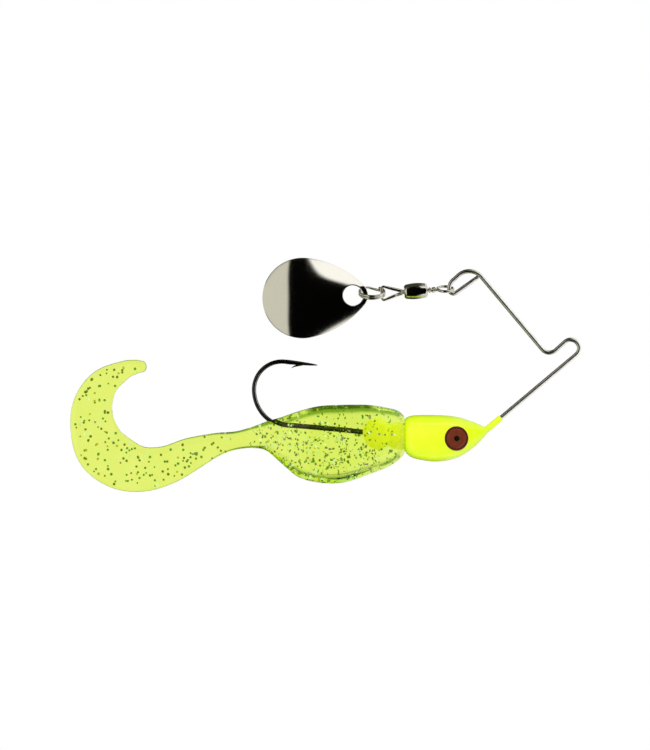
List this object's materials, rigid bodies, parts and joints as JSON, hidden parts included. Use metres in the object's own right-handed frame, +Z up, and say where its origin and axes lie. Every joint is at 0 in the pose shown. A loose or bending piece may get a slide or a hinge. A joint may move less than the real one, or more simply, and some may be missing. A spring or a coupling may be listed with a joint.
{
  "type": "spinnerbait",
  "caption": "Small spinnerbait: painted lead head on a bent wire arm, curl-tail soft grub on a black hook, and one domed blade trailing from a barrel swivel and split ring.",
  "frame": {"origin": "centre of the wire's line-tie bend, where the line is fastened", "axes": "+X forward, the way the lure is pulled; +Z up, from the hook to the blade; +Y across, so the head and grub are about symmetric in Y"},
  "size_m": [0.0818, 0.0088, 0.0375],
  "materials": {
    "steel_wire": "drawn stainless spring wire, satin with fine lengthwise draw lines",
    "black_nickel": "black nickel plate, glossy and dark",
    "head_paint": "glossy fluorescent chartreuse coat on lead",
    "eye": "glossy brown disc with a darker rim and a black pupil",
    "grub_body": "soft translucent chartreuse plastisol with dark, gold, green and silver flakes",
    "grub_tail": "the same plastisol, thin enough to glow",
    "nickel": "bright nickel plate on brass",
    "blade_plate": "mirror nickel plate on a stamped brass blade"
  },
  "bodies": {
    "root": {"wire_arm": "steel_wire", "lead_head": "head_paint", "hook": "black_nickel", "eye_left": "eye", "eye_right": "eye", "grub_body": "grub_body"},
    "tail": {"grub_tail": "grub_tail"},
    "front_eye": {"swivel_front_eye": "nickel"},
    "barrel": {"swivel_barrel": "nickel"},
    "rear_eye": {"swivel_rear_eye": "nickel"},
    "ring": {"split_ring": "nickel"},
    "blade": {"blade": "blade_plate"}
  },
  "joints": [
    {"name": "tail_sway", "type": "hinge", "parent": "root", "child": "tail", "pos_m": [-0.0506, 0, -0.01425], "axis": [0, 0, 1], "range_deg": [-30, 30], "stiffness_Nm_per_rad": 0.0002},
    {"name": "swivel_swing", "type": "hinge", "parent": "root", "child": "front_eye", "pos_m": [-0.01943, 0, 0.00946], "axis": [0, -0.342, 0.9397], "range_deg": [-60, 60]},
    {"name": "barrel_spin", "type": "hinge", "parent": "front_eye", "child": "barrel", "pos_m": [-0.02476, 0, 0.00913], "axis": [0.9976, 0, 0.0698], "continuous": true},
    {"name": "blade_spin", "type": "hinge", "parent": "barrel", "child": "rear_eye", "pos_m": [-0.02476, 0, 0.00913], "axis": [0.9976, 0, 0.0698], "continuous": true},
    {"name": "ring_swing", "type": "hinge", "parent": "rear_eye", "child": "ring", "pos_m": [-0.03025, 0, 0.00874], "axis": [-0.0698, 0, 0.9976], "range_deg": [-40, 40]},
    {"name": "blade_pivot", "type": "hinge", "parent": "ring", "child": "blade", "pos_m": [-0.03377, 0, 0.00884], "axis": [0, 0.9205, 0.3907], "range_deg": [-15, 80]}
  ]
}
